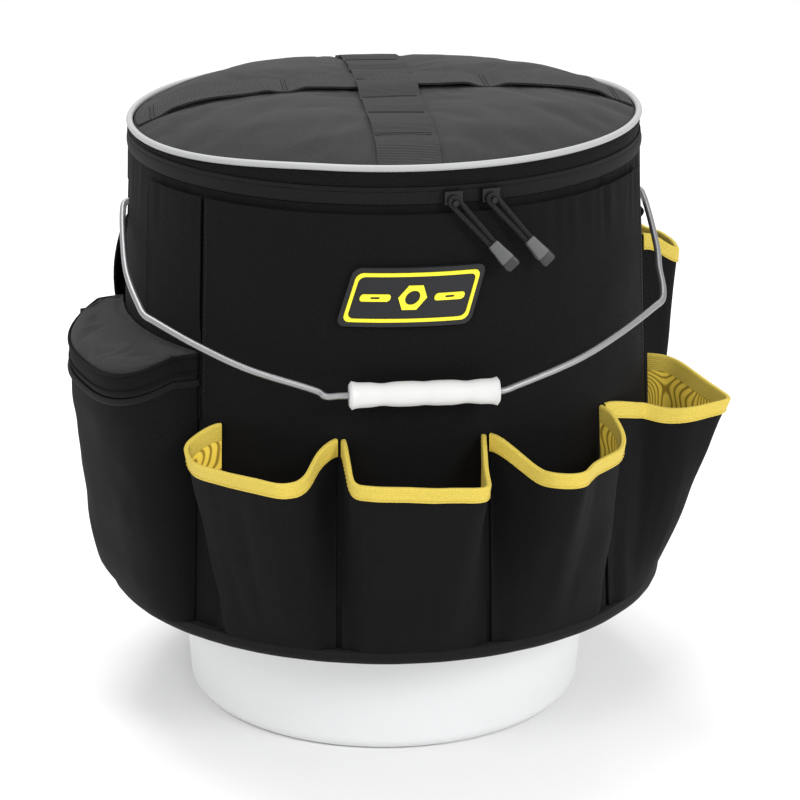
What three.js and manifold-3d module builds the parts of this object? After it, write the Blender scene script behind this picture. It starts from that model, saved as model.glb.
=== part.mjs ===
// Fabric tool bucket organizer on a five-gallon pail, in millimetres.
// +Z is up, the front (badge side) faces -Y, and the origin is the centre of the pail's flat underside.
// Azimuths are in degrees about +Z: 0 is the front, +90 the right-hand ear, 180 the back.
import * as THREE from "three";
import { mergeVertices } from "three/addons/utils/BufferGeometryUtils.js";
import Module from "manifold-3d";

const wasm = await Module();
wasm.setup();

// ---------- driving dimensions ----------
const SEGMENTS = 44; // facets round every full ring
const PAIL = { height: 368, footR: 131, topR: 148.5, wall: 2.3, corner: 9, rimR: 151.5 };
const EAR = { z: 334, bossR: 13, holeR: 2.9, holeDepth: 9, outerX: 158.5 };
const SLEEVE = { topZ: 370, topR: 163.4, seamZ: 226, seamR: 170.5, hemZ: 86, hemR: 178, thick: 1.8 };
const GAP = 0.8; // between sewn layers
const ZIP = { z: 376.5, outerR: 163.9 };
const LID = { bandBottom: 378.5, bandTop: 389.5, outerR: 162.6, shoulderR: 159.7, shoulderZ: 391.5 };
const LID_RISE = 15;
const PIPING = { r: 162.3, z: 392.2, tube: 2.2 };
const WEB = { width: 38, thick: 1.4 };
const BAIL_WIRE_R = 2.1;
const BAIL = { legX: 168, restAngle: 22, bendS: 116, bendX: 158, kinkS: 190, kinkX: 58, gripS: 198 };
const BAIL_LEAN = 2.5; // the wire's lower part is bent a little to the right
const GRIP = { length: 90, outerR: 8, boreR: 2.6, shiftX: 6 };
const MOUTH = { seamZ: 226, frontDrop: 16, binding: 12 };
const SEAM_GAP = 0.6; // degrees each side of a seam between two pockets
const POUCH = { from: -95, to: -47.5, depth: 36, foot: 8, topZ: 233, lidZ: 236.6, lidTop: 249.6 };
const POUCH_SLOPE = 0.5;
const SLIDERS = { left: { azimuth: 8.5, lean: 7 }, right: { azimuth: 16.5, lean: 6.8 } };
const PULL = { cordR: 1.4, bend: 2.6, pinch: 1.6, eyeR: 170.4, eyeZ: 372.5, tipR: 177, tipTopZ: 347 };
const TIP = { topR: 3.6, bottomR: 4.6, depth: 0.75, length: 19 };

const COLOURS = {
  pail: [0xe9ebec, 0.45, 0],
  steel: [0xa9abad, 0.35, 0.9],
  grip: [0xf3f3f2, 0.5, 0],
  fabric: [0x17181a, 0.95, 0],
  lidFabric: [0x3a3b3d, 0.9, 0],
  webbing: [0x424345, 0.9, 0],
  binding: [0xe8c93c, 0.85, 0],
  piping: [0xb9babb, 0.4, 0],
  rubber: [0x1d1e20, 0.6, 0],
  hardware: [0x101112, 0.35, 0.2],
  pullTip: [0x55575a, 0.5, 0],
};

const group = new THREE.Group();
const rad = THREE.MathUtils.degToRad;

// ---------- helpers ----------
// A point from an azimuth in degrees, a radius and a height.
function polar(azimuth, r, z) {
  return new THREE.Vector3(r * Math.sin(rad(azimuth)), -r * Math.cos(rad(azimuth)), z);
}

function add(name, geometry, look) {
  const [color, roughness, metalness] = COLOURS[look];
  const mesh = new THREE.Mesh(geometry, new THREE.MeshStandardMaterial({ color, roughness, metalness }));
  mesh.name = name;
  group.add(mesh);
  return mesh;
}

// A closed three.js geometry as a manifold-3d solid.
function solid(geometry) {
  const bare = geometry.clone();
  for (const attribute of ["normal", "uv"]) bare.deleteAttribute(attribute);
  const merged = mergeVertices(bare, 1e-3);
  return new wasm.Manifold(
    new wasm.Mesh({
      numProp: 3,
      vertProperties: merged.attributes.position.array,
      triVerts: new Uint32Array(merged.index.array),
    }),
  );
}

// A manifold-3d solid as a three.js geometry.
function geometryOf(body) {
  const mesh = body.getMesh();
  const geometry = new THREE.BufferGeometry();
  geometry.setAttribute("position", new THREE.BufferAttribute(new Float32Array(mesh.vertProperties), 3));
  geometry.setIndex(new THREE.BufferAttribute(new Uint32Array(mesh.triVerts), 1));
  return geometry;
}

// A closed slab between two point grids: outer(u, v) and inner(u, v), with u and v from 0 to 1.
function slab(nu, nv, outer, inner) {
  const points = [];
  for (const surface of [outer, inner])
    for (let j = 0; j <= nv; j++)
      for (let i = 0; i <= nu; i++) points.push(surface(i / nu, j / nv));
  const at = (side, i, j) => side * (nu + 1) * (nv + 1) + j * (nu + 1) + i;
  const index = [];
  const quad = (a, b, c, d) => index.push(a, b, c, a, c, d);
  for (let j = 0; j < nv; j++)
    for (let i = 0; i < nu; i++) {
      quad(at(0, i, j), at(0, i + 1, j), at(0, i + 1, j + 1), at(0, i, j + 1));
      quad(at(1, i, j), at(1, i, j + 1), at(1, i + 1, j + 1), at(1, i + 1, j));
    }
  for (let i = 0; i < nu; i++) {
    quad(at(0, i, 0), at(1, i, 0), at(1, i + 1, 0), at(0, i + 1, 0));
    quad(at(0, i, nv), at(0, i + 1, nv), at(1, i + 1, nv), at(1, i, nv));
  }
  for (let j = 0; j < nv; j++) {
    quad(at(0, 0, j), at(0, 0, j + 1), at(1, 0, j + 1), at(1, 0, j));
    quad(at(0, nu, j), at(1, nu, j), at(1, nu, j + 1), at(0, nu, j + 1));
  }
  const geometry = new THREE.BufferGeometry();
  const coordinates = points.flatMap((p) => [p.x, p.y, p.z]);
  geometry.setAttribute("position", new THREE.Float32BufferAttribute(coordinates, 3));
  geometry.setIndex(index);
  return geometry;
}

// A solid of revolution about Z from an open [radius, height] outline whose ends are on the axis.
function turned(outline, segments = SEGMENTS) {
  const profile = outline.map(([r, z]) => new THREE.Vector2(r, z));
  return new THREE.LatheGeometry(profile, segments).rotateX(Math.PI / 2);
}

// A ring turned about Z from a closed [radius, height] outline, listed anticlockwise.
function ring(outline, segments = SEGMENTS) {
  return turned([...outline, outline[0]], segments);
}

function band(rIn, rOut, z0, z1) {
  return ring([[rIn, z0], [rOut, z0], [rOut, z1], [rIn, z1]]);
}

// ---------- pail with moulded ears ----------
const wallSlope = (PAIL.topR - PAIL.footR) / PAIL.height;
const pailR = (z) => PAIL.footR + wallSlope * z;

function pailGeometry() {
  const { height, footR, wall, corner, rimR } = PAIL;
  const outline = [[0, 0]];
  for (let k = 0; k <= 3; k++) {
    const a = (k / 3) * (Math.PI / 2);
    outline.push([footR - corner + corner * Math.sin(a), corner - corner * Math.cos(a)]);
  }
  for (const z of [292, 300]) outline.push([pailR(z) + (z === 292 ? 0 : 3.5), z]); // lower stiffening rib
  outline.push([pailR(303) + 3.5, 303], [pailR(304), 304]);
  outline.push([pailR(352), 352], [rimR, 354], [rimR, height - 1], [rimR - 1, height]);
  outline.push([rimR - 4, height], [pailR(350) - wall, 350]);
  outline.push([footR - wall, corner], [footR - corner, 3.2], [0, 3.2]);
  let body = solid(turned(outline));
  for (const side of [-1, 1]) {
    const innerX = pailR(EAR.z) - 2;
    const bossLength = EAR.outerX - innerX;
    const boss = new THREE.CylinderGeometry(EAR.bossR, EAR.bossR + 2, bossLength, 20);
    boss.rotateZ(-side * Math.PI / 2).translate(side * (innerX + bossLength / 2), 0, EAR.z);
    const hole = new THREE.CylinderGeometry(EAR.holeR, EAR.holeR, EAR.holeDepth * 2, 16);
    hole.rotateZ(Math.PI / 2).translate(side * EAR.outerX, 0, EAR.z);
    body = body.add(solid(boss)).subtract(solid(hole));
  }
  return geometryOf(body);
}
add("pail", pailGeometry(), "pail");

// ---------- sleeve that hangs from the pail's rim ----------
// The sleeve's outer radius: it flares from the rim to the hem.
function sleeveR(z) {
  const { topZ, topR, seamZ, seamR, hemZ, hemR } = SLEEVE;
  const upper = THREE.MathUtils.clamp((topZ - z) / (topZ - seamZ), 0, 1);
  const lower = THREE.MathUtils.clamp((seamZ - z) / (seamZ - hemZ), 0, 1);
  return topR + (seamR - topR) * upper + (hemR - seamR) * lower;
}

function sleeveGeometry() {
  const { topZ, seamZ, hemZ, thick } = SLEEVE;
  const heights = [hemZ, seamZ, topZ];
  const outline = heights.map((z) => [sleeveR(z), z]);
  for (const z of [...heights].reverse()) outline.push([sleeveR(z) - thick, z]);
  let body = solid(ring(outline));
  const slot = new THREE.BoxGeometry(400, 48, 44).translate(0, 0, EAR.z); // lets the bail reach the ears
  return geometryOf(body.subtract(solid(slot)));
}
add("sleeve", sleeveGeometry(), "fabric");

// The hem's binding turns out at its top into a lip that floors the pockets.
const HEM = { below: 2, lip: 5.5, thick: 2.2, reach: 7 };
function hemGeometry() {
  const inner = SLEEVE.hemR + GAP;
  const bottom = SLEEVE.hemZ - HEM.below;
  const lip = SLEEVE.hemZ + HEM.lip;
  return ring([
    [inner, bottom],
    [inner + HEM.thick, bottom],
    [inner + HEM.thick, lip - 2],
    [inner + HEM.reach, lip - 1],
    [inner + HEM.reach, lip],
    [inner, lip],
  ]);
}
add("hem_binding", hemGeometry(), "fabric");

// The flange over the rim and the liner that hangs inside the pail are one piece of cloth.
function linerGeometry() {
  const bottom = 170;
  const inner = (z) => pailR(z) - PAIL.wall - 1.2;
  const rimZ = PAIL.height + 0.6;
  return ring([
    [inner(bottom) - 1.5, bottom],
    [inner(bottom), bottom],
    [inner(340), 340],
    [inner(340) + 0.8, rimZ],
    [SLEEVE.topR - SLEEVE.thick - 0.6, rimZ],
    [SLEEVE.topR - SLEEVE.thick - 0.6, rimZ + 1.4],
    [inner(340) - 1.5, rimZ + 1.4],
    [inner(340) - 1.5, 340],
  ]);
}
add("inner_liner", linerGeometry(), "fabric");

// A panel that lies on the sleeve between two azimuths and two heights.
function panel(from, to, z0, z1, lift, thick, nu = 14, nv = 3) {
  const point = (extra) => (u, v) => {
    const z = z0 + (z1 - z0) * v;
    return polar(from + (to - from) * u, sleeveR(z) + lift + extra, z);
  };
  return slab(nu, nv, point(thick), point(0));
}
const APRON = { z0: 230, z1: 364, lift: GAP, thick: 1.6 };
const apron = (from, to, z0, nu) => panel(from, to, z0, APRON.z1, APRON.lift, APRON.thick, nu);
add("front_apron", apron(-46, 68, APRON.z0, 16), "fabric");
add("left_panel", apron(-67, -47, 282, 4), "fabric");
add("right_panel", apron(104, 117.5, 310, 3), "fabric");
add("rear_apron", apron(118.5, 256, APRON.z0, 18), "fabric");

// The rear panels' free edges bow out behind the bail's legs.
function guardGeometry(side, z0, z1) {
  const point = (thick) => (u, v) => {
    const z = z0 + (z1 - z0) * v;
    const bow = 4.5 * Math.sin(Math.PI * v);
    return polar(side * 95.5 + 7 * (side > 0 ? u : u - 1), sleeveR(z) + GAP + bow + thick, z);
  };
  return slab(3, 6, point(1.4), point(0));
}
add("ear_guard_left", guardGeometry(-1, 248, 316), "fabric");
add("ear_guard_right", guardGeometry(1, 309, 318), "fabric");

// ---------- badge ----------
const BADGE = { z: 316, width: 82, height: 36, thick: 2.6 };
function badgeGeometry() {
  const base = sleeveR(BADGE.z) + APRON.lift + APRON.thick + 0.4;
  const half = THREE.MathUtils.radToDeg(BADGE.width / 2 / base);
  const lean = 0.5 * (sleeveR(BADGE.z - 18) - sleeveR(BADGE.z + 18));
  const point = (thick) => (u, v) => {
    const z = BADGE.z + BADGE.height * (v - 0.5);
    return polar(half * (2 * u - 1) + 1.2 * (v - 0.5), base + lean * (1 - 2 * v) + thick, z);
  };
  return slab(10, 2, point(BADGE.thick), point(0));
}
add("badge", badgeGeometry(), "rubber");

// ---------- open pockets ----------
// Each pocket is a strip sewn along two seams, at azimuths from and to, and closing on the hem. Its mouth
// passes through plan points [across, out]: across the pocket's middle line, and out from the pail's axis.
const REAR_MOUTH = [[-44, 190], [-32, 208], [0, 213], [32, 208], [44, 190]];
const POCKETS = {
  front_left: {
    from: -41.5, to: -14.5, seamZ: MOUTH.seamZ,
    mouth: [[-55, 184], [-46, 196], [-33, 203], [2, 213], [22, 214], [31, 200], [33, 182]],
  },
  front_center: {
    from: -14.5, to: 15.5, seamZ: MOUTH.seamZ,
    mouth: [[-42, 185], [-40, 201], [-33, 207], [0, 213], [32, 218], [39, 214], [41, 190]],
  },
  front_right: {
    from: 15.5, to: 46.5, seamZ: MOUTH.seamZ,
    mouth: [[-36, 190], [-28, 212], [-15, 220], [4, 211], [39, 196], [45, 178]],
  },
  side_right: {
    from: 46.5, to: 84, seamZ: MOUTH.seamZ, drop: 14,
    mouth: [
      [-27, 176], [-15, 180], [-11, 192], [-5, 206], [8, 218],
      [22, 227], [37, 217], [50, 198], [57, 180],
    ],
  },
  tall_right: {
    from: 88, to: 117, seamZ: 303,
    mouth: [[-36, 182], [-31, 194], [-22, 198], [4, 201], [27, 196], [38, 181]],
  },
  rear_right: { from: 119, to: 155, seamZ: MOUTH.seamZ, mouth: REAR_MOUTH },
  rear_center: { from: 155, to: 191, seamZ: MOUTH.seamZ, mouth: REAR_MOUTH },
  rear_left: { from: 191, to: 227, seamZ: MOUTH.seamZ, mouth: REAR_MOUTH },
  rear_side: { from: 227, to: 263, seamZ: MOUTH.seamZ, mouth: REAR_MOUTH },
};
const HEM_TOP = SLEEVE.hemZ + HEM.lip + 0.5;
const POCKET_FOOT = 5; // how far a pocket stands out at the hem
const CLOTH = 1.6;

for (const pocket of Object.values(POCKETS)) {
  const half = rad((pocket.to - pocket.from) / 2 - SEAM_GAP);
  const r = sleeveR(pocket.seamZ) + GAP + CLOTH;
  const seam = (side) => new THREE.Vector3(side * r * Math.sin(half), r * Math.cos(half), 0);
  const corners = pocket.mouth.map(([x, y]) => new THREE.Vector3(x, y, 0));
  pocket.half = half;
  pocket.curve = new THREE.CatmullRomCurve3([seam(-1), ...corners, seam(1)], false, "centripetal");
  pocket.girth = pocket.curve.getLength();
}

// The strip's point at u along the seam-to-seam path and at height share v, moved inwards by inset.
function pocketPoint(pocket, inset, u, v) {
  const p = pocket.curve.getPointAt(u);
  const tangent = pocket.curve.getTangentAt(u);
  const top = new THREE.Vector2(p.x + tangent.y * inset, p.y - tangent.x * inset);
  const fromSeam = Math.min(u, 1 - u) * pocket.girth;
  const out = THREE.MathUtils.smoothstep(fromSeam, 0, 26);
  const topZ = pocket.seamZ - (pocket.drop ?? MOUTH.frontDrop) * out;
  const foot = sleeveR(HEM_TOP) + GAP + (POCKET_FOOT - inset) * out;
  const footAngle = (pocket.half - inset / foot) * (2 * u - 1);
  const local = new THREE.Vector2(foot * Math.sin(footAngle), foot * Math.cos(footAngle)).lerp(top, v);
  const z = HEM_TOP + (topZ - HEM_TOP) * v;
  const minimum = sleeveR(z) + GAP + CLOTH - inset;
  if (local.length() < minimum) local.setLength(minimum);
  const m = rad((pocket.from + pocket.to) / 2);
  return new THREE.Vector3(
    local.y * Math.sin(m) + local.x * Math.cos(m),
    -local.y * Math.cos(m) + local.x * Math.sin(m),
    z,
  );
}

function stripBetween(pocket, outerInset, innerInset, v0, v1, nu, nv) {
  const point = (inset) => (u, v) => pocketPoint(pocket, inset, u, v0 + (v1 - v0) * v);
  return slab(nu, nv, point(outerInset), point(innerInset));
}

for (const [name, pocket] of Object.entries(POCKETS)) {
  const bindingShare = MOUTH.binding / (pocket.seamZ - HEM_TOP);
  add(`pocket_${name}`, stripBetween(pocket, 0, CLOTH, 0, 1, 16, 3), "fabric");
  add(`binding_${name}`, stripBetween(pocket, -1.5, -0.5, 1 - bindingShare, 1, 16, 1), "binding");
}

// ---------- zipped side pouch with its hinged lid ----------
// The pouch's top slopes down and outwards; its heights are given at the outermost edge.
const POUCH_CLOTH = 1.8;
const POUCH_SQUARENESS = 2.8; // exponent of the plan outline: 2 is round, more is squarer
const POUCH_MID = (POUCH.from + POUCH.to) / 2;
const pouchBaseR = sleeveR(POUCH.topZ) + GAP;
const pouchHingeR = pouchBaseR + 2.6; // middle of the straight hinge line
const pouchRise = (out) => POUCH_SLOPE * (pouchBaseR + POUCH.depth - out);

// The pouch's plan outline in its own frame: x along the tangent, y outwards from the pail's axis.
function pouchPlan(u, inset, depth, baseR) {
  const half = rad((POUCH.to - POUCH.from) / 2) - inset / baseR;
  const power = 2 / POUCH_SQUARENESS;
  const t = Math.PI * (1 - u);
  const along = Math.sign(Math.cos(t)) * Math.abs(Math.cos(t)) ** power;
  const out = Math.sin(t) ** power;
  const rise = baseR * (1 - Math.cos(half)) + depth - inset;
  return new THREE.Vector2(baseR * Math.sin(half) * along, baseR * Math.cos(half) + rise * out);
}

function pouchToWorld(x, y, z) {
  const m = rad(POUCH_MID);
  return new THREE.Vector3(y * Math.sin(m) + x * Math.cos(m), -y * Math.cos(m) + x * Math.sin(m), z);
}

// The tall wall between the hem and the zipper.
function pouchBodyGeometry() {
  const point = (inset) => (u, v) => {
    const depth = POUCH.foot + (POUCH.depth - POUCH.foot) * v ** 0.7;
    const baseR = sleeveR(HEM_TOP + (POUCH.topZ - HEM_TOP) * v) + GAP;
    const p = pouchPlan(u, inset, depth, baseR);
    if (p.length() < baseR) p.setLength(baseR);
    const top = POUCH.topZ + pouchRise(p.y);
    return pouchToWorld(p.x, p.y, HEM_TOP + (top - HEM_TOP) * v);
  };
  return slab(16, 4, point(0), point(POUCH_CLOTH));
}

function pouchZipperGeometry() {
  const point = (inset) => (u, v) => {
    const p = pouchPlan(u, inset, POUCH.depth, pouchBaseR);
    if (p.length() < pouchBaseR) p.setLength(pouchBaseR);
    const low = POUCH.topZ + 0.4;
    const high = POUCH.lidZ - 0.4;
    return pouchToWorld(p.x, p.y, low + (high - low) * v + pouchRise(p.y));
  };
  return slab(16, 1, point(-0.4), point(1.4));
}

// A sloping plate of the pouch's outline, kept on one side of the straight hinge line.
function pouchPlate(z0, z1, inset, keepOuter) {
  const outline = [];
  for (let k = 0; k <= 16; k++) outline.push(pouchPlan(k / 16, inset, POUCH.depth, pouchBaseR));
  const options = { depth: z1 - z0, bevelEnabled: false };
  const plate = new THREE.ExtrudeGeometry(new THREE.Shape(outline), options).translate(0, 0, z0);
  const slope = new THREE.Matrix4();
  slope.set(1, 0, 0, 0, 0, 1, 0, 0, 0, -POUCH_SLOPE, 1, pouchRise(0), 0, 0, 0, 1);
  const hinge = pouchHingeR + (keepOuter ? 0.3 : -0.3);
  const waste = new THREE.BoxGeometry(400, 400, 400).translate(0, hinge + (keepOuter ? -200 : 200), z0);
  return solid(plate.applyMatrix4(slope)).subtract(solid(waste));
}

function turnToPouch(body) {
  return geometryOf(body).rotateZ(rad(POUCH_MID) + Math.PI);
}

function pouchLidGeometry() {
  const { lidZ, lidTop } = POUCH;
  const hollow = pouchPlate(lidZ - 5, lidTop - POUCH_CLOTH, POUCH_CLOTH, true);
  return turnToPouch(pouchPlate(lidZ, lidTop, 0, true).subtract(hollow));
}

function pouchFlapGeometry() {
  const drum = new THREE.CylinderGeometry(pouchBaseR, pouchBaseR, 120, 72);
  const wedge = pouchPlate(POUCH.lidZ, POUCH.lidTop, 0, false);
  return turnToPouch(wedge.subtract(solid(drum.rotateX(Math.PI / 2).translate(0, 0, POUCH.lidZ))));
}

add("pouch_body", pouchBodyGeometry(), "fabric");
add("pouch_zipper", pouchZipperGeometry(), "rubber");
add("pouch_lid", pouchLidGeometry(), "fabric");
add("pouch_hinge_flap", pouchFlapGeometry(), "fabric");

// A webbing tab stands at the zipper's rear end.
const TAB = { x: -73.5, out: 6, thick: 1.6, width: 12, height: 24 };
const tab = new THREE.BoxGeometry(TAB.thick, TAB.width, TAB.height).rotateZ(rad(POUCH_MID) + Math.PI);
const tabOut = pouchHingeR + TAB.out;
const tabPlace = pouchToWorld(TAB.x, tabOut, POUCH.lidZ + 6 + pouchRise(tabOut));
add("pouch_tab", tab, "webbing").position.copy(tabPlace);

// ---------- pockets on the inside liner ----------
function innerPocketGeometry(from, to) {
  const point = (inset) => (u, v) => {
    const z = 182 + 118 * v;
    const wallR = pailR(z) - PAIL.wall - 1.2 - 1.5 - GAP;
    return polar(from + (to - from) * u, wallR - 1.4 - 7 * v * Math.sin(Math.PI * u) - inset, z);
  };
  return slab(8, 2, point(0), point(1.2));
}
const INNER_POCKETS = 4;
for (let k = 0; k < INNER_POCKETS; k++) {
  const from = -23 + (360 / INNER_POCKETS) * k;
  add(`inner_pocket_${k + 1}`, innerPocketGeometry(from, from + 46), "fabric");
}

// ---------- zipper round the lid ----------
add("zipper_tape", band(ZIP.outerR - 2.4, ZIP.outerR, 371, 377.9), "rubber");
const hingeTape = slab(
  8,
  1,
  (u, v) => polar(172 + 16 * u, ZIP.outerR + 1.8, 366 + 11 * v),
  (u, v) => polar(172 + 16 * u, ZIP.outerR + 0.4, 366 + 11 * v),
);
add("lid_hinge_tape", hingeTape, "fabric");

// ---------- lid ----------
// The padded top swells quickly inside the piping and is nearly flat in the middle.
const domeZ = (r) => LID.shoulderZ + LID_RISE * (1 - (r / LID.shoulderR) ** 5);
const DOME_RADII = [40, 90, 118, 138, 150];

function lidGeometry() {
  const { bandBottom, bandTop, outerR, shoulderR } = LID;
  const cloth = 2;
  const outline = [[0, domeZ(0) - cloth]];
  for (const r of DOME_RADII) outline.push([r, domeZ(r) - cloth]);
  outline.push([outerR - cloth, bandTop - cloth], [outerR - cloth, bandBottom], [outerR, bandBottom]);
  outline.push([outerR, bandTop], [shoulderR, bandTop + 0.2]);
  for (const r of [shoulderR, ...[...DOME_RADII].reverse(), 0]) outline.push([r, domeZ(r)]);
  return turned(outline);
}
add("lid_shell", lidGeometry(), "lidFabric");
const piping = new THREE.TorusGeometry(PIPING.r, PIPING.tube, 6, SEGMENTS);
add("lid_piping", piping, "piping").position.z = PIPING.z;

// Webbing over the dome from piping to piping; it rises by hump over whatever it crosses at the middle.
function webbingGeometry(hump, turn) {
  const point = (lift) => (u, v) => {
    const x = WEB.width * (u - 0.5);
    const y = Math.sqrt((LID.shoulderR - 2.4) ** 2 - x * x) * (2 * v - 1);
    const over = hump * THREE.MathUtils.smoothstep(45 - Math.abs(y), 0, 20);
    const z = domeZ(Math.hypot(x, y)) + 0.7 + over + lift;
    return new THREE.Vector3(x, y, z).applyAxisAngle(new THREE.Vector3(0, 0, 1), turn);
  };
  return slab(2, 16, point(WEB.thick), point(0));
}
add("lid_webbing_cross", webbingGeometry(0, Math.PI / 2), "webbing");
add("lid_webbing_main", webbingGeometry(WEB.thick + 0.4, 0), "webbing");

// ---------- lid zipper sliders with cord pulls ----------
function sliderGeometry(azimuth) {
  const body = new THREE.BoxGeometry(11, 3.6, 8).translate(0, -(ZIP.outerR + 2.6), 374.6);
  const post = new THREE.CylinderGeometry(0.8, 0.8, 5.2, 10);
  post.translate(0, -(ZIP.outerR + 6.5), PULL.eyeZ);
  const cap = new THREE.CylinderGeometry(1.8, 1.8, 1, 12);
  cap.translate(0, -(ZIP.outerR + 9.2), PULL.eyeZ);
  return geometryOf(solid(body).add(solid(post)).add(solid(cap))).rotateZ(rad(azimuth));
}

// The doubled cord: from the tip up one side, round the slider's post and down the other side. Its two
// strands come together at the tip.
function pullRoute(slider) {
  const eye = polar(slider.azimuth, PULL.eyeR, PULL.eyeZ);
  const end = polar(slider.azimuth + slider.lean, PULL.tipR, PULL.tipTopZ + 0.6);
  const down = end.clone().sub(eye).normalize();
  const outward = polar(slider.azimuth + slider.lean / 2, 1, 0);
  const sideways = new THREE.Vector3().crossVectors(down, outward).normalize();
  const points = [];
  const at = (along, across) =>
    points.push(eye.clone().addScaledVector(down, along).addScaledVector(sideways, across));
  const length = eye.distanceTo(end);
  const spread = (share) => PULL.bend + (PULL.pinch - PULL.bend) * share;
  for (let k = 5; k >= 0; k--) at((length * k) / 5, spread(k / 5));
  for (let k = 1; k < 6; k++) {
    const a = (Math.PI * k) / 6;
    at(-PULL.bend * Math.sin(a), PULL.bend * Math.cos(a));
  }
  for (let k = 0; k <= 5; k++) at((length * k) / 5, -spread(k / 5));
  return { points, end, down, outward };
}

function roundSection(r, sides) {
  const outline = [];
  for (let k = 0; k < sides; k++) {
    const a = (2 * Math.PI * k) / sides;
    outline.push(new THREE.Vector2(r * Math.cos(a), r * Math.sin(a)));
  }
  return new THREE.Shape(outline);
}

function tube(points, r, sides, steps) {
  const extrudePath = new THREE.CatmullRomCurve3(points, false, "centripetal");
  return new THREE.ExtrudeGeometry(roundSection(r, sides), { steps, extrudePath, bevelEnabled: false });
}

for (const [side, slider] of Object.entries(SLIDERS)) {
  const route = pullRoute(slider);
  add(`slider_${side}`, sliderGeometry(slider.azimuth), "hardware");
  add(`pull_cord_${side}`, tube(route.points, PULL.cordR, 7, 30), "fabric");
  const tip = new THREE.CylinderGeometry(TIP.topR, TIP.bottomR, TIP.length, 14).scale(1, 1, TIP.depth);
  const mesh = add(`pull_tip_${side}`, tip, "pullTip");
  const up = route.down.clone().negate();
  const across = new THREE.Vector3().crossVectors(up, route.outward).normalize();
  const facing = new THREE.Vector3().crossVectors(across, up);
  mesh.setRotationFromMatrix(new THREE.Matrix4().makeBasis(across, up, facing));
  mesh.position.copy(route.end).addScaledVector(route.down, TIP.length / 2 + 0.5);
}

// ---------- wire bail with its grip, hanging forward ----------
function bailPoint(x, s) {
  const tilt = rad(BAIL.restAngle);
  return new THREE.Vector3(x, -s * Math.cos(tilt), EAR.z - s * Math.sin(tilt));
}

function bailGeometry() {
  const { legX, bendS, bendX, kinkS, kinkX, gripS } = BAIL;
  const right = [
    [gripS, 22],
    [gripS, 44],
    [gripS, kinkX - 5],
    [kinkS + 4, kinkX + 1],
    [171, 100],
    [148, 135],
    [bendS + 6, bendX - 4],
    [bendS - 5, bendX + 1],
    [92, 162.5],
    [72, legX],
    [9, legX],
    [2.5, legX - 1.5],
    [0, legX - 6],
    [0, EAR.outerX - 7],
  ];
  const lean = (s) => (s === gripS ? 0 : BAIL_LEAN * THREE.MathUtils.smoothstep(s, 80, bendS));
  const points = [...right].reverse().map(([s, x]) => bailPoint(lean(s) - x, s));
  points.push(bailPoint(0, gripS));
  points.push(...right.map(([s, x]) => bailPoint(lean(s) + x, s)));
  return tube(points, BAIL_WIRE_R, 7, 84);
}
add("bail_wire", bailGeometry(), "steel");

function gripGeometry() {
  const half = GRIP.length / 2;
  const outline = [[GRIP.boreR, half], [GRIP.boreR, -half]];
  const halfProfile = [[0, 8.6], [0.05, 9.2], [0.1, 8.2], [0.2, 7.4]];
  const mirrored = halfProfile.map(([share, r]) => [1 - share, r]).reverse();
  for (const [share, r] of [...halfProfile, [0.5, GRIP.outerR], ...mirrored]) {
    outline.push([r, -half + GRIP.length * share]);
  }
  return ring(outline, 16).rotateY(Math.PI / 2);
}
add("bail_grip", gripGeometry(), "grip").position.copy(bailPoint(GRIP.shiftX, BAIL.gripS));

export default group;
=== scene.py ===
"""Looks of the fabric tool bucket organizer: fabric shells, printed linings, hardware, studio."""

import math

import bpy
from mathutils import Matrix, Vector, noise


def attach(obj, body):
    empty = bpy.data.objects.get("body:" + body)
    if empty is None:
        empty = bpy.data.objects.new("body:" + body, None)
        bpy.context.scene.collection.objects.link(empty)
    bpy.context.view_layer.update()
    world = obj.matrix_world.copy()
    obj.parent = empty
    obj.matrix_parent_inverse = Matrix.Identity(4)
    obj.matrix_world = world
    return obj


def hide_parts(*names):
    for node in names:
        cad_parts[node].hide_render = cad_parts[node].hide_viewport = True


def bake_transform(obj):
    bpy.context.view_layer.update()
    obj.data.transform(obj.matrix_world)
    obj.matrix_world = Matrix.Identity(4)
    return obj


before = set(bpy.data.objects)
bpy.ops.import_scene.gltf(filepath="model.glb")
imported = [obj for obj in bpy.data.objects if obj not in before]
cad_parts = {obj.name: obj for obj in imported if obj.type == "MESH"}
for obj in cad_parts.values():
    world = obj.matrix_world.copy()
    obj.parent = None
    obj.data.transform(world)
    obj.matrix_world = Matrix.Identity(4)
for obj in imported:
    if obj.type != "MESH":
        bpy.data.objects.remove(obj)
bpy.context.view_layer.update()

MM = 0.001

# ---------- driving dimensions, as in the CAD, in millimetres ----------
PAIL = {"height": 368, "foot_r": 131, "top_r": 148.5, "wall": 2.3, "corner": 9, "rim_r": 151.5}
EAR = {"z": 334, "boss_r": 13, "hole_r": 2.9, "outer_x": 158.5}
SLEEVE = {"top_z": 370, "top_r": 163.4, "seam_z": 226, "seam_r": 170.5, "hem_z": 86, "hem_r": 178}
GAP = 0.8
CLOTH = 1.6
ZIP_R = 163.9
LID = {"bottom": 378.5, "top": 389.5, "outer_r": 162.6, "shoulder_r": 159.7}
LID |= {"shoulder_z": 391.5, "rise": 14.5}
PIPING = {"r": 162.3, "z": 392.2, "tube": 2.1}
WEB_WIDTH = 38
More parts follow.
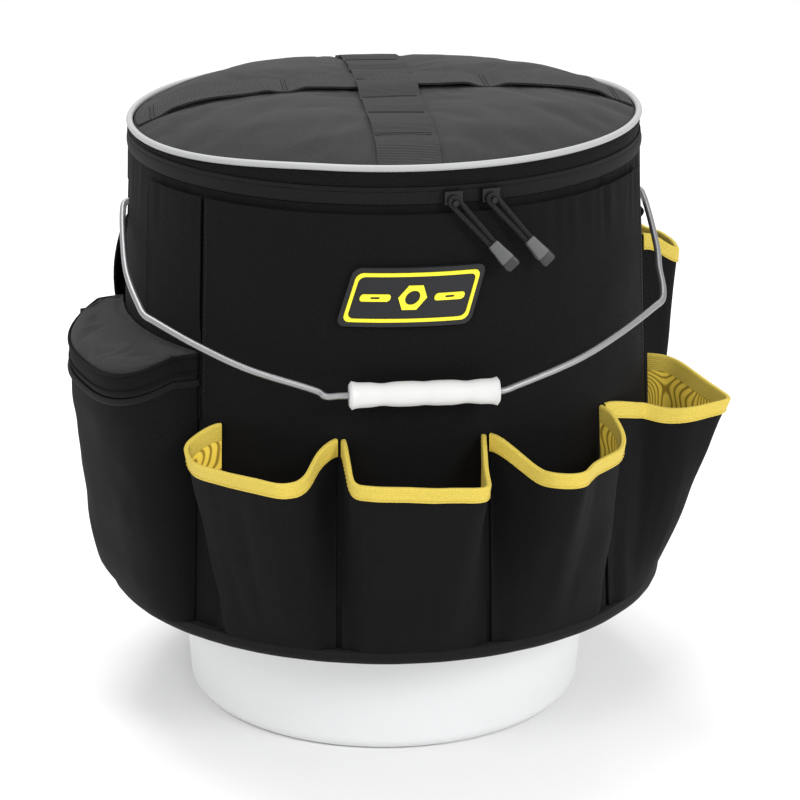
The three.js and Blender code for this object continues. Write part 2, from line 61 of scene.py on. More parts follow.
# Along the bail, s is the distance from the ears' axis and x the distance from the middle plane.
BAIL = {"wire_r": 2.1, "leg_x": 168, "rest_angle": 22}
BAIL |= {"bend_s": 116, "bend_x": 158, "kink_s": 190, "kink_x": 58}
BAIL_LEAN = 2.5
GRIP = {"length": 90, "shift_x": 6, "s": 198, "bore_r": 2.3}
HEM_LIP = SLEEVE["hem_z"] + 5.5
HEM_TOP = HEM_LIP + 0.5
BINDING = 10
SEAM_GAP = 0.6
REAR_MOUTH = [(-44, 190), (-32, 208), (0, 213), (32, 208), (44, 190)]
FRONT_LEFT_MOUTH = [(-55, 184), (-46, 196), (-33, 203), (2, 213), (22, 214), (31, 200), (33, 182)]
FRONT_CENTER_MOUTH = [(-42, 185), (-40, 201), (-33, 207), (0, 213), (32, 218), (39, 214), (41, 190)]
FRONT_RIGHT_MOUTH = [(-36, 190), (-28, 212), (-15, 220), (4, 211), (39, 196), (45, 178)]
SIDE_MOUTH = [(-27, 176), (-15, 180), (-11, 192), (-5, 206), (8, 218)]
SIDE_MOUTH += [(22, 227), (37, 217), (50, 198), (57, 180)]
TALL_MOUTH = [(-36, 182), (-31, 194), (-22, 198), (4, 201), (27, 196), (38, 181)]
# Each open pocket: its two seams' azimuths, the seams' top, the mouth's drop between them, and its plan.
POCKETS = {
    "front_left": (-41.5, -14.5, 226, 16, FRONT_LEFT_MOUTH),
    "front_center": (-14.5, 15.5, 226, 16, FRONT_CENTER_MOUTH),
    "front_right": (15.5, 46.5, 226, 16, FRONT_RIGHT_MOUTH),
    "side_right": (46.5, 84, 226, 14, SIDE_MOUTH),
    "tall_right": (88, 117, 303, 16, TALL_MOUTH),
    "rear_right": (119, 155, 226, 16, REAR_MOUTH),
    "rear_center": (155, 191, 226, 16, REAR_MOUTH),
    "rear_left": (191, 227, 226, 16, REAR_MOUTH),
    "rear_side": (227, 263, 226, 16, REAR_MOUTH),
}
# How far from its seams a mouth goes on falling, where it isn't the usual distance.
MOUTH_RAMP = {"side_right": 62}
USUAL_RAMP = 40
POUCH = {"start": -95, "end": -47.5, "depth": 36, "foot": 8, "top_z": 233, "lid_z": 236.6, "lid_top": 249.6}
POUCH_SLOPE = 0.5
SLIDERS = {"left": (8.5, 7), "right": (16.5, 6.8)}
PULL = {"cord_r": 1.4, "bend": 2.6, "pinch": 1.6, "eye_r": 170.4, "eye_z": 372.5}
PULL |= {"tip_r": 177, "tip_top": 347}
TIP_LENGTH = 19


# ---------- small maths ----------
def clamp(x, low=0.0, high=1.0):
    return max(low, min(high, x))


def smooth(x, a, b):
    t = clamp((x - a) / (b - a))
    return t * t * (3 - 2 * t)


def polar(azimuth, r, z):
    a = math.radians(azimuth)
    return Vector((r * math.sin(a), -r * math.cos(a), z))


def turned_out(x, y, z, azimuth):
    """A point drawn with y outwards and x to its right, turned to face the azimuth."""
    m = math.radians(azimuth)
    return Vector((y * math.sin(m) + x * math.cos(m), -y * math.cos(m) + x * math.sin(m), z))


def ripple(x, y, seed):
    """Soft cloth unevenness between about -1 and 1."""
    return noise.noise(Vector((x, y, seed))) + 0.4 * noise.noise(Vector((2.3 * x, 2.3 * y, seed + 7)))


def signed_power(x, power):
    return math.copysign(abs(x) ** power, x)


def sleeve_r(z):
    upper = clamp((SLEEVE["top_z"] - z) / (SLEEVE["top_z"] - SLEEVE["seam_z"]))
    lower = clamp((SLEEVE["seam_z"] - z) / (SLEEVE["seam_z"] - SLEEVE["hem_z"]))
    rise = SLEEVE["seam_r"] - SLEEVE["top_r"]
    return SLEEVE["top_r"] + rise * upper + (SLEEVE["hem_r"] - SLEEVE["seam_r"]) * lower


def pail_r(z):
    return PAIL["foot_r"] + (PAIL["top_r"] - PAIL["foot_r"]) * z / PAIL["height"]


def spline(points, per_span):
    """Points along a centripetal Catmull-Rom curve through the given ones."""
    ends = [points[0] * 2 - points[1]] + list(points) + [points[-1] * 2 - points[-2]]
    out = []
    for k in range(1, len(ends) - 2):
        p = ends[k - 1 : k + 3]
        knots = [0.0]
        for a, b in zip(p, p[1:]):
            knots.append(knots[-1] + (b - a).length ** 0.5)

        def mix(a, b, t0, t1, t):
            return a * ((t1 - t) / (t1 - t0)) + b * ((t - t0) / (t1 - t0))

        for step in range(per_span):
            t = knots[1] + (knots[2] - knots[1]) * step / per_span
            first = [mix(p[m], p[m + 1], knots[m], knots[m + 1], t) for m in range(3)]
            second = [mix(first[m], first[m + 1], knots[m], knots[m + 2], t) for m in range(2)]
            out.append(mix(second[0], second[1], knots[1], knots[2], t))
    return out + [points[-1].copy()]


def along(points, share):
    """The point and the direction at a share of a polyline's length."""
    lengths = [(b - a).length for a, b in zip(points, points[1:])]
    left = share * sum(lengths)
    for k, length in enumerate(lengths):
        if left <= length or k == len(lengths) - 1:
            step = points[k + 1] - points[k]
            return points[k] + step * (left / length), step / length
        left -= length


# ---------- materials ----------
WEAVE_RELIEF = 0.00022


def new_material(name, color, roughness, metallic=0.0, specular=0.5):
    material = bpy.data.materials.new(name)
    material.use_nodes = True
    shader = material.node_tree.nodes["Principled BSDF"]
    shader.inputs["Base Color"].default_value = (*color, 1)
    shader.inputs["Roughness"].default_value = roughness
    shader.inputs["Metallic"].default_value = metallic
    shader.inputs["Specular IOR Level"].default_value = specular
    return material, material.node_tree.nodes, material.node_tree.links, shader


def bands(nodes, links, coords, direction, pitch, distortion=0.0):
    """A wave texture whose bands repeat every pitch metres."""
    wave = nodes.new("ShaderNodeTexWave")
    wave.bands_direction = direction
    wave.inputs["Scale"].default_value = 2 * math.pi / (20 * pitch)
    wave.inputs["Distortion"].default_value = distortion
    wave.inputs["Detail"].default_value = 1
    links.new(coords, wave.inputs["Vector"])
    return wave.outputs["Fac"]


def cloudy(nodes, links, coords, scale, detail):
    cloud = nodes.new("ShaderNodeTexNoise")
    cloud.inputs["Scale"].default_value = scale
    cloud.inputs["Detail"].default_value = detail
    links.new(coords, cloud.inputs["Vector"])
    return cloud.outputs["Fac"]


def two_tone(nodes, links, level, shader, low, high):
    """Colours the shader between two (position, colour) stops as the level rises."""
    ramp = nodes.new("ShaderNodeValToRGB")
    for stop, (position, color) in enumerate((low, high)):
        ramp.color_ramp.elements[stop].position = position
        ramp.color_ramp.elements[stop].color = (*color, 1)
    links.new(level, ramp.inputs["Fac"])
    links.new(ramp.outputs["Color"], shader.inputs["Base Color"])
    return ramp.outputs["Color"]


def mottled(nodes, links, coords, shader, dark, light, scale):
    return two_tone(nodes, links, cloudy(nodes, links, coords, scale, 4), shader, (0.3, dark), (0.7, light))


def calculated(nodes, links, operation, first, second):
    """A sum done on a texture's level; the second term is a number or another level."""
    node = nodes.new("ShaderNodeMath")
    node.operation = operation
    links.new(first, node.inputs[0])
    if isinstance(second, (int, float)):
        node.inputs[1].default_value = second
    else:
        links.new(second, node.inputs[1])
    return node.outputs[0]


def bump(nodes, links, height, shader, distance):
    node = nodes.new("ShaderNodeBump")
    node.inputs["Distance"].default_value = distance
    links.new(height, node.inputs["Height"])
    links.new(node.outputs["Normal"], shader.inputs["Normal"])


def uv_of(nodes):
    return nodes.new("ShaderNodeTexCoord").outputs["UV"]


def woven(name, dark, light, pitch, specular, sheen):
    material, nodes, links, shader = new_material(name, light, 0.8, specular=specular)
    shader.inputs["Sheen Weight"].default_value = sheen
    shader.inputs["Sheen Roughness"].default_value = 0.5
    uv = uv_of(nodes)
    mottled(nodes, links, uv, shader, dark, light, 900)
    warp, weft = (bands(nodes, links, uv, direction, pitch) for direction in "XY")
    bump(nodes, links, calculated(nodes, links, "MULTIPLY", warp, weft), shader, WEAVE_RELIEF)
    return material


def ribbed(name, dark, light, pitch, direction, relief=0.0003, specular=0.2, shade=0.75):
    """Cloth with ribs across it, with painted shade in the grooves between the ribs; shade is how bright
    those painted grooves are.
    """
    material, nodes, links, shader = new_material(name, light, 0.78, specular=specular)
    shader.inputs["Sheen Weight"].default_value = 0.04
    uv = uv_of(nodes)
    color = mottled(nodes, links, uv, shader, dark, light, 700)
    ribs = bands(nodes, links, uv, direction, pitch, 0.4)
    # painted shade: the rib bands scale the base colour down towards the shade level in the grooves
    level = nodes.new("ShaderNodeMapRange")
    level.inputs["To Min"].default_value = shade
    links.new(ribs, level.inputs["Value"])
    shaded = nodes.new("ShaderNodeVectorMath")
    shaded.operation = "SCALE"
    links.new(color, shaded.inputs["Vector"])
    links.new(level.outputs["Result"], shaded.inputs["Scale"])
    links.new(shaded.outputs["Vector"], shader.inputs["Base Color"])
    bump(nodes, links, ribs, shader, relief)
    return material


def printed_lining():
    """Yellow cloth with a generic wood-grain line print."""
    material, nodes, links, shader = new_material("lining", (0.7, 0.5, 0.05), 0.8, specular=0.3)
    uv = uv_of(nodes)
    rings = calculated(nodes, links, "MULTIPLY", cloudy(nodes, links, uv, 26, 0.5), 34)
    fold = calculated(nodes, links, "PINGPONG", rings, 0.5)
    two_tone(nodes, links, fold, shader, (0.08, (0.34, 0.22, 0.02)), (0.26, (0.96, 0.71, 0.09)))
    return material


MATERIALS = {
    "fabric": woven("fabric", (0.0035, 0.0035, 0.0038), (0.0066, 0.0066, 0.0070), 0.0011, 0.075, 0.012),
    "lid_fabric": woven("lid_fabric", (0.013, 0.013, 0.0135), (0.021, 0.021, 0.022), 0.0011, 0.22, 0.06),
    "webbing": ribbed(
        "webbing", (0.024, 0.024, 0.025), (0.040, 0.040, 0.042), 0.0015, "Y", 0.0005, 0.2, 0.45
    ),
    "tape": ribbed("tape", (0.005, 0.005, 0.0055), (0.009, 0.009, 0.0095), 0.001, "X", 0.00015, 0.12, 0.8),
    "binding": ribbed("binding", (0.58, 0.44, 0.055), (0.67, 0.52, 0.095), 0.0012, "Y", 0.00015, 0.3, 0.92),
    "lining": printed_lining(),
    "pail": new_material("pail", (0.755, 0.76, 0.765), 0.38)[0],
    "wire": new_material("wire", (0.30, 0.30, 0.305), 0.42, 0.9)[0],
    "grip": new_material("grip", (0.60, 0.60, 0.595), 0.45)[0],
    "piping": new_material("piping", (0.36, 0.362, 0.365), 0.5)[0],
    "rubber": new_material("rubber", (0.010, 0.0105, 0.012), 0.5, specular=0.3)[0],
    "yellow_rubber": new_material("yellow_rubber", (0.84, 0.73, 0.02), 0.45)[0],
    "hardware": new_material("hardware", (0.006, 0.006, 0.0065), 0.38, specular=0.28)[0],
    # painted highlight: the tip's grey stands in for the lit top faces of the semi-gloss black plastic;
    # tip_end keeps the plastic's dark colour
    "tip": new_material("tip", (0.075, 0.076, 0.078), 0.5)[0],
    "tip_end": new_material("tip_end", (0.016, 0.016, 0.017), 0.45)[0],
    "cord": ribbed("cord", (0.007, 0.007, 0.0075), (0.017, 0.017, 0.018), 0.0012, "X"),
    "thread": new_material("thread", (0.012, 0.012, 0.013), 0.8, specular=0.2)[0],
    "gold_thread": new_material("gold_thread", (0.62, 0.46, 0.06), 0.7)[0],
}


# ---------- mesh helpers ----------
def finish_mesh(name, vertices, faces, uvs, material, body, replaced=(), sharp=40):
    """Body is a body's name, or (body, other body, start, end) for cloth between the two; such a piece is
    baked in place and attached to neither.
    """
    mesh = bpy.data.meshes.new(name)
    mesh.from_pydata([v * MM for v in vertices], [], faces)
    layer = mesh.uv_layers.new(name="UVMap")
    by_corner = len(uvs) == len(mesh.loops)
    for loop in mesh.loops:
        layer.data[loop.index].uv = uvs[loop.index if by_corner else loop.vertex_index]
    mesh.shade_smooth()
    mesh.set_sharp_from_angle(angle=math.radians(sharp))
    mesh.materials.append(MATERIALS[material])
    piece = bpy.data.objects.new(name, mesh)
    bpy.context.collection.objects.link(piece)
    if isinstance(body, tuple):
        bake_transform(piece)
    else:
        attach(piece, body)
    if replaced:
        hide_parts(*replaced)
    return piece


def walls(sides, rings, first=0):
    """The faces between successive rings of points, numbered from the first."""
    return [
        [m + q, m + (q + 1) % sides, m + (q + 1) % sides + sides, m + q + sides]
        for m in range(first, first + rings * sides, sides)
        for q in range(sides)
    ]


def cloth(name, nu, nv, point, thick, material, body="organizer", replaced=(), wrap=False, hole=None):
    """A closed cloth shell: point(u, v) is its outer face, thick its thickness, both in millimetres."""
    columns = nu if wrap else nu + 1
    grid = [[point(i / nu, j / nv) for i in range(columns)] for j in range(nv + 1)]

    def at(i, j):
        return grid[j][i % nu if wrap else clamp(i, 0, nu)]

    inner = []
    for j in range(nv + 1):
        row = []
        for i in range(columns):
            across = at(i + 1, j) - at(i - 1, j)
            up = at(i, min(j + 1, nv)) - at(i, max(j - 1, 0))
            row.append(grid[j][i] - across.cross(up).normalized() * thick)
        inner.append(row)
    vertices = [p for row in grid for p in row] + [p for row in inner for p in row]
    count = columns * (nv + 1)
    middle = nv // 2
    run = [0.0]
    for i in range(1, nu + 1):
        run.append(run[-1] + (at(i, middle) - at(i - 1, middle)).length)
    rise = [0.0]
    for j in range(1, nv + 1):
        rise.append(rise[-1] + (grid[j][columns // 2] - grid[j - 1][columns // 2]).length)

    def index(i, j, side):
        return side * count + j * columns + (i % nu if wrap else i)

    cells = [(i, j) for j in range(nv) for i in range(nu)]
    filled = {(i, j) for i, j in cells if hole is None or not hole((i + 0.5) / nu, (j + 0.5) / nv)}
    faces, uvs = [], []

    def face(corners):
        faces.append([index(i, j, side) for i, j, side in corners])
        uvs.extend((run[i] * MM, rise[j] * MM) for i, j, _ in corners)

    for i, j in sorted(filled):
        face([(i, j, 0), (i + 1, j, 0), (i + 1, j + 1, 0), (i, j + 1, 0)])
        face([(i, j, 1), (i, j + 1, 1), (i + 1, j + 1, 1), (i + 1, j, 1)])
        left = ((i - 1) % nu if wrap else i - 1, j)
        right = ((i + 1) % nu if wrap else i + 1, j)
        if (i, j - 1) not in filled:
            face([(i, j, 0), (i, j, 1), (i + 1, j, 1), (i + 1, j, 0)])
        if (i, j + 1) not in filled:
            face([(i, j + 1, 0), (i + 1, j + 1, 0), (i + 1, j + 1, 1), (i, j + 1, 1)])
        if left not in filled:
            face([(i, j, 0), (i, j + 1, 0), (i, j + 1, 1), (i, j, 1)])
        if right not in filled:
            face([(i + 1, j, 0), (i + 1, j, 1), (i + 1, j + 1, 1), (i + 1, j + 1, 0)])
    used = sorted({v for f in faces for v in f})
    renumber = {old: new for new, old in enumerate(used)}
    faces = [[renumber[v] for v in f] for f in faces]
    return finish_mesh(name, [vertices[v] for v in used], faces, uvs, material, body, replaced)


def lathe(name, outline, material, body="organizer", replaced=(), segments=128, turn=None, closed=False):
    """A solid of revolution about Z from [radius, height] pairs, listed anticlockwise."""
    rows = outline + [outline[0]] if closed else outline
    vertices, faces, uvs, ids = [], [], [], []
    for r, z in outline:
        if r < 1e-6:
            ids.append([len(vertices)] * segments)
            vertices.append(Vector((0, 0, z)))
        else:
            ids.append(list(range(len(vertices), len(vertices) + segments)))
            vertices.extend(polar(360 * k / segments, r, z) for k in range(segments))
    if closed:
        ids.append(ids[0])
    run = [0.0]
    for (r0, z0), (r1, z1) in zip(rows, rows[1:]):
        run.append(run[-1] + math.hypot(r1 - r0, z1 - z0))
    for a in range(len(rows) - 1):
        girth = 2 * math.pi * max(rows[a][0], rows[a + 1][0]) * MM
        for k in range(segments):
            n = (k + 1) % segments
            corners = [(ids[a][k], k, a), (ids[a][n], k + 1, a)]
            corners += [(ids[a + 1][n], k + 1, a + 1), (ids[a + 1][k], k, a + 1)]
            unique = [c for m, c in enumerate(corners) if c[0] != corners[m - 1][0]]
            faces.append([c[0] for c in unique])
            uvs.extend((girth * c[1] / segments, run[c[2]] * MM) for c in unique)
    if turn:
        vertices = [turn @ v for v in vertices]
    return finish_mesh(name, vertices, faces, uvs, material, body, replaced, sharp=35)


def tube(name, points, r, material, body, replaced=(), sides=14):
    """A round tube through the points, with flat ends."""
    vertices, uvs = [], []
    side = Vector((0, 0, 1))
    run = 0.0
    for k, p in enumerate(points):
        ahead = (points[min(k + 1, len(points) - 1)] - points[max(k - 1, 0)]).normalized()
        side = (side - ahead * side.dot(ahead)).normalized()
        if side.length < 0.5:
            side = ahead.orthogonal().normalized()
        other = ahead.cross(side)
        if k:
            run += (p - points[k - 1]).length
        for s in range(sides):
            a = 2 * math.pi * s / sides
            vertices.append(p + (side * math.cos(a) + other * math.sin(a)) * r)
            uvs.append((run * MM, 2 * math.pi * r * s / sides * MM))
    faces = walls(sides, len(points) - 1)
    faces.append(list(reversed(range(sides))))
    faces.append(list(range(len(vertices) - sides, len(vertices))))
    return finish_mesh(name, vertices, faces, uvs, material, body, replaced)


def stitches(name, path, body="organizer", step=3.2, length=2.2, radius=0.28, material="thread"):
    """A row of thread stitches along a line of points."""
    sides = 5
    vertices, faces = [], []
    run = [0.0]
    for a, b in zip(path, path[1:]):
        run.append(run[-1] + (b - a).length)

    def place(s):
        k = max(m for m in range(len(run)) if run[m] <= s + 1e-9 or m == 0)
        k = min(k, len(path) - 2)
        t = (s - run[k]) / max(run[k + 1] - run[k], 1e-9)
        return path[k].lerp(path[k + 1], t)

    s = 0.0
    while s + length < run[-1]:
        a, b = place(s), place(s + length)
        ahead = (b - a).normalized()
        side = ahead.orthogonal().normalized()
        other = ahead.cross(side)
        first = len(vertices)
        for end, scale in ((a, 0.5), (a.lerp(b, 0.3), 1), (a.lerp(b, 0.7), 1), (b, 0.5)):
            for q in range(sides):
                angle = 2 * math.pi * q / sides
                vertices.append(end + (side * math.cos(angle) + other * math.sin(angle)) * radius * scale)
        faces += walls(sides, 3, first)
        faces.append([first + q for q in reversed(range(sides))])
        faces.append([first + 3 * sides + q for q in range(sides)])
        s += step
    return finish_mesh(name, vertices, faces, [(0.0, 0.0)] * len(vertices), material, body)


def hoop(name, r, height, thick, material, body, replaced, segments=220, sides=16):
    """A round cord closed into a ring about Z; height(x, y) is its centre line's height."""
    vertices, faces = [], []
    for k in range(segments):
        centre = polar(360 * k / segments, r, 0)
        lift = height(centre.x, centre.y)
        for q in range(sides):
            a = 2 * math.pi * q / sides
            vertices.append(polar(360 * k / segments, r + thick * math.cos(a), lift + thick * math.sin(a)))
            here, ahead = k * sides, (k + 1) % segments * sides
            after = (q + 1) % sides
            faces.append([here + q, ahead + q, ahead + after, here + after])
    return finish_mesh(name, vertices, faces, [(0.0, 0.0)] * len(vertices), material, body, replaced)


SETTLING_FRAMES = 20


def relaxed(rows, wrap, pinned, slack, pressure, cap):
    """Lets a grid of cloth points swell and wrinkle; pinned(point) says which are sewn down."""
    scene = bpy.context.scene
    columns = len(rows[0])
    points = [p for row in rows for p in row]
    faces = []
    for j in range(len(rows) - 1):
        for i in range(columns if wrap else columns - 1):
            n = (i + 1) % columns
            faces.append([j * columns + i, j * columns + n, (j + 1) * columns + n, (j + 1) * columns + i])
    mesh = bpy.data.meshes.new("relaxed")
    mesh.from_pydata([p * MM for p in points], [], faces)
    piece = bpy.data.objects.new("relaxed", mesh)
    bpy.context.collection.objects.link(piece)
    held = [k for k, p in enumerate(points) if pinned(p)]
    piece.vertex_groups.new(name="held").add(held, 1.0, "REPLACE")
    modifier = piece.modifiers.new("cloth", "CLOTH")
    modifier.settings.quality = 6
    modifier.settings.vertex_group_mass = "held"
    modifier.settings.use_pressure = True
    modifier.settings.uniform_pressure_force = pressure
    modifier.settings.shrink_min = -slack
    modifier.settings.effector_weights.gravity = 0
    modifier.point_cache.frame_start = 1
    modifier.point_cache.frame_end = SETTLING_FRAMES
    for frame_number in range(1, SETTLING_FRAMES + 1):
        scene.frame_set(frame_number)
    settled = piece.evaluated_get(bpy.context.evaluated_depsgraph_get())
    moved = [v.co.copy() / MM - p for v, p in zip(settled.data.vertices, points)]
    scene.frame_set(1)
    bpy.data.objects.remove(piece)
    bpy.data.meshes.remove(mesh)
    for k, move in enumerate(moved):
        if move.length > cap:
            move *= cap / move.length
        points[k] = points[k] + move
    return [points[j * columns : (j + 1) * columns] for j in range(len(rows))]


def from_grid(rows, nu, nv, wrap=False):
    """A grid of points as a function of u and v, for cloth()."""
    return lambda u, v: rows[min(round(v * nv), nv)][round(u * nu) % nu if wrap else round(u * nu)]


# ---------- studio ----------
def studio():
    scene = bpy.context.scene
    scene.view_settings.view_transform = "Standard"
    yaw, pitch = math.radians(5.65), 0.330
    distance, height = 1.83, 0.82
    data = bpy.data.cameras.new("camera")
    data.lens = 131.7
    data.sensor_width = 36
    data.shift_x = 0.02
    camera = bpy.data.objects.new("camera", data)
    camera.location = (-distance * math.sin(yaw), -distance * math.cos(yaw), height)
    camera.rotation_euler = (math.pi / 2 - pitch, 0, -yaw)
    scene.collection.objects.link(camera)
    scene.camera = camera

    world = bpy.data.worlds.new("world")
    world.use_nodes = True
    world.node_tree.nodes["Background"].inputs["Color"].default_value = (1, 1, 1, 1)
    world.node_tree.nodes["Background"].inputs["Strength"].default_value = 0.86
    scene.world = world

    for name, place, size, power in (
        ("key", (-1.1, -1.7, 1.9), 1.0, 15),
        ("fill", (1.3, -1.7, 1.3), 0.7, 21),
        ("top", (-0.25, 0.6, 2.2), 1.2, 29),
    ):
        light = bpy.data.lights.new(name, "AREA")
        light.size = size
        light.energy = power
        lamp = bpy.data.objects.new(name, light)
        lamp.location = place
        lamp.rotation_euler = (Vector((0, 0, 0.22)) - lamp.location).to_track_quat("-Z", "Y").to_euler()
        scene.collection.objects.link(lamp)

    mesh = bpy.data.meshes.new("floor")
    mesh.from_pydata([(-6, -6, 0), (6, -6, 0), (6, 6, 0), (-6, 6, 0)], [], [(0, 1, 2, 3)])
    mesh.materials.append(new_material("floor", (0.93, 0.93, 0.93), 0.9, specular=0.1)[0])
    floor = bpy.data.objects.new("floor", mesh)
    scene.collection.objects.link(floor)


studio()


# ---------- cord pulls ----------
def pull_route(azimuth, lean):
    eye = polar(azimuth, PULL["eye_r"], PULL["eye_z"])
    end = polar(azimuth + lean, PULL["tip_r"], PULL["tip_top"] + 0.6)
    down = (end - eye).normalized()
    outward = polar(azimuth + lean / 2, 1, 0)
    sideways = down.cross(outward).normalized()
    length = (end - eye).length
    bend = PULL["bend"]
    strand = [(eye + down * length * k / 5, bend + (PULL["pinch"] - bend) * k / 5) for k in range(6)]
    points = [place + sideways * spread for place, spread in reversed(strand)]
    for k in range(1, 6):
        a = math.pi * k / 6
        points.append(eye - down * bend * math.sin(a) + sideways * bend * math.cos(a))
    points += [place - sideways * spread for place, spread in strand]
    return points, end, down, outward


def pull(side):
    azimuth, lean = SLIDERS[side]
    body = f"{side}_slider"
    points, end, down, outward = pull_route(azimuth, lean)
    route = spline(points, 4)
    cord = tube(f"cord_{side}", route, PULL["cord_r"], "cord", body, [f"pull_cord_{side}"], 12)
    across = (-down).cross(outward).normalized()
    facing = across.cross(-down)

    def tip_point(u, v):
        t = 1 - v
        half_width = 3.5 + 1.3 * smooth(t, 0.0, 1.0)
        half_depth = 2.7 + 0.6 * t
        a = 2 * math.pi * u
        pinch = 0.84 + 0.16 * smooth(min(v, 1 - v), 0, 0.06)
        x = half_width * pinch * signed_power(math.sin(a), 0.4)
        y = -half_depth * pinch * signed_power(math.cos(a), 0.4)
        return end + down * (0.5 + TIP_LENGTH * t) + across * x - facing * y

    def sleeve_part(u, v):
        return tip_point(u, 0.3 + 0.7 * v)

    def end_part(u, v):
        return tip_point(u, 0.29 * v)

    around = 40
    # the upper sleeve carries the painted highlight in its grey; the end block has the plastic's dark
    # colour
    tip = cloth(f"tip_{side}", around, 20, sleeve_part, 1.2, "tip", body, [f"pull_tip_{side}"], wrap=True)
    end_block = cloth(f"tip_end_{side}", around, 12, end_part, 1.2, "tip_end", body, wrap=True)
    for share, low in ((0.98, True), (0.02, False)):
        ring = [tip_point(k / around, 1 - share) for k in range(around)]
        lift = down * (0.5 if low else -0.5)
        vertices = ring + [p + lift for p in ring]
        faces = [list(range(around)), list(reversed(range(around, 2 * around)))]
        faces += [[(k + 1) % around, k, around + k, around + (k + 1) % around] for k in range(around)]
        if low:
            faces = [list(reversed(f)) for f in faces]
        # the top cap takes the tip's painted-highlight grey, the bottom cap the dark end colour
        look = "tip_end" if low else "tip"
        flat = [(0.0, 0.0)] * len(vertices)
        finish_mesh(f"tip_cap_{side}_{look}", vertices, faces, flat, look, body)
    length = sum((b - a).length for a, b in zip(route, route[1:])) * MM


for side_name in SLIDERS:
    pull(side_name)


# ---------- pail ----------
def pail():
    foot, corner, wall = PAIL["foot_r"], PAIL["corner"], PAIL["wall"]
    outline = [(0, 0.0), (foot - corner - 6, 0.0)]
    for k in range(7):
        a = k / 6 * math.pi / 2
        outline.append((foot - corner + corner * math.sin(a), corner - corner * math.cos(a)))
    outline += [(pail_r(z), z) for z in (60, 120, 200, 280)]
    outline += [(pail_r(291), 291), (pail_r(292) + 3, 292), (pail_r(302) + 3, 302), (pail_r(303), 303)]
    rim = PAIL["rim_r"]
    outline += [(pail_r(351), 351), (rim - 0.6, 353), (rim, 354.5), (rim, 366)]
    outline += [(rim - 1.5, 368), (rim - 3.5, 368), (pail_r(350) - wall, 350)]
    outline += [(pail_r(200) - wall, 200), (foot - wall, corner), (foot - corner, 3.2), (0, 3.2)]
    lathe("pail_shell", outline, "pail", replaced=["pail"])
    for side in (-1, 1):
        start = pail_r(EAR["z"]) - 1
        length = EAR["outer_x"] - start
        boss = [(EAR["hole_r"], 0), (15, 0), (14, 2), (EAR["boss_r"], length - 1.2)]
        boss += [(EAR["boss_r"] - 1.2, length), (EAR["hole_r"], length)]
        turn = Matrix.Translation((side * start, 0, EAR["z"])) @ Matrix.Rotation(side * math.pi / 2, 4, "Y")
        lathe(f"ear_{'left' if side < 0 else 'right'}", boss, "pail", segments=40, turn=turn, closed=True)


pail()


# ---------- sleeve and its panels ----------
def sleeve_wave(azimuth, z, amount):
    """Soft unevenness of the hanging cloth, with puckers gathered under the zipper."""
    broad = amount * ripple(azimuth / 22, z / 70, 3.0)
    right = smooth(azimuth, 25, 50) * smooth(110 - azimuth, 0, 20)
    gather = smooth(z, 318, 366) * (0.8 + right) * noise.noise(Vector((azimuth / 2.6, z / 90, 11)))
    return broad + gather


def sleeve():
    def height(v):
        return SLEEVE["hem_z"] + (SLEEVE["top_z"] - SLEEVE["hem_z"]) * v

    def point(u, v):
        azimuth, z = 360 * u, height(v)
        return polar(azimuth, sleeve_r(z) + sleeve_wave(azimuth, z, 0.5), z)

    def slot(u, v):
        """Where the cloth is cut away for an ear."""
        return any(abs(360 * u - a) < 5.2 for a in (90, 270)) and abs(height(v) - EAR["z"]) < 17

    piece = cloth("sleeve_cloth", 288, 72, point, 1.4, "fabric", replaced=["sleeve"], wrap=True, hole=slot)


def panel(name, start, end, low, high, nu, nv, amount, node, edge_stitch, under):
    """An outer panel between two azimuths and two heights, on a grid of nu by nv cells.

    Its cloth is uneven by about the amount, and below the height under it lies flat
    behind the pockets."""
    flat = 0.75

    def surface(azimuth, z, lift):
        edge = smooth(min(azimuth - start, end - azimuth), 0, 3)
        top = smooth(high - z, 0, 12)
        wave = sleeve_wave(azimuth, z, amount) * (0.35 + 0.65 * edge) * (0.6 + 0.4 * top)
        stand = GAP + CLOTH + 0.7 + wave
        stand = flat + (stand - flat) * smooth(z, under - 8, under + 22)
        return polar(azimuth, sleeve_r(z) + stand + lift, z)

    def point(u, v):
        return surface(start + (end - start) * u, low + (high - low) * v, 0)

    piece = cloth(name, nu, nv, point, 0.9, "fabric", replaced=[node])
    first = under + 3
    for k, azimuth in enumerate(edge_stitch):
        line = [surface(azimuth, first + (high - 3 - first) * t / 60, 0.1) for t in range(61)]
        stitches(f"{name}_stitch_{k}", line)
    width = math.radians(end - start) * sleeve_r((low + high) / 2)


sleeve()
panel("front_panel", -46, 68, 120, 365, 220, 90, 1.3, "front_apron", (-45.3, 67.2), 222)
panel("left_side_panel", -67, -47, 225, 365, 36, 60, 1.0, "left_panel", (-66.2,), 275)
panel("right_side_panel", 104, 117.5, 270, 365, 26, 44, 1.0, "right_panel", (104.8,), 302)
panel("rear_panel", 118.5, 256, 120, 365, 260, 90, 1.3, "rear_apron", (119.3, 255.2), 222)


def ear_edge(side, low, high):
    name = "left" if side < 0 else "right"

    def point(u, v):
        z = low + (high - low) * v
        bow = 6 * math.sin(math.pi * v) ** 0.8
        azimuth = side * 95.5 + 8.5 * (u if side > 0 else u - 1)
        away = 1 - abs(azimuth) / 104
        return polar(azimuth, sleeve_r(z) + GAP + 1.6 + bow * smooth(away, 0.0, 0.07), z)

    piece = cloth(f"ear_edge_{name}", 16, 40, point, 1.4, "fabric", replaced=[f"ear_guard_{name}"])


ear_edge(-1, 248, 316)
ear_edge(1, 307, 319)


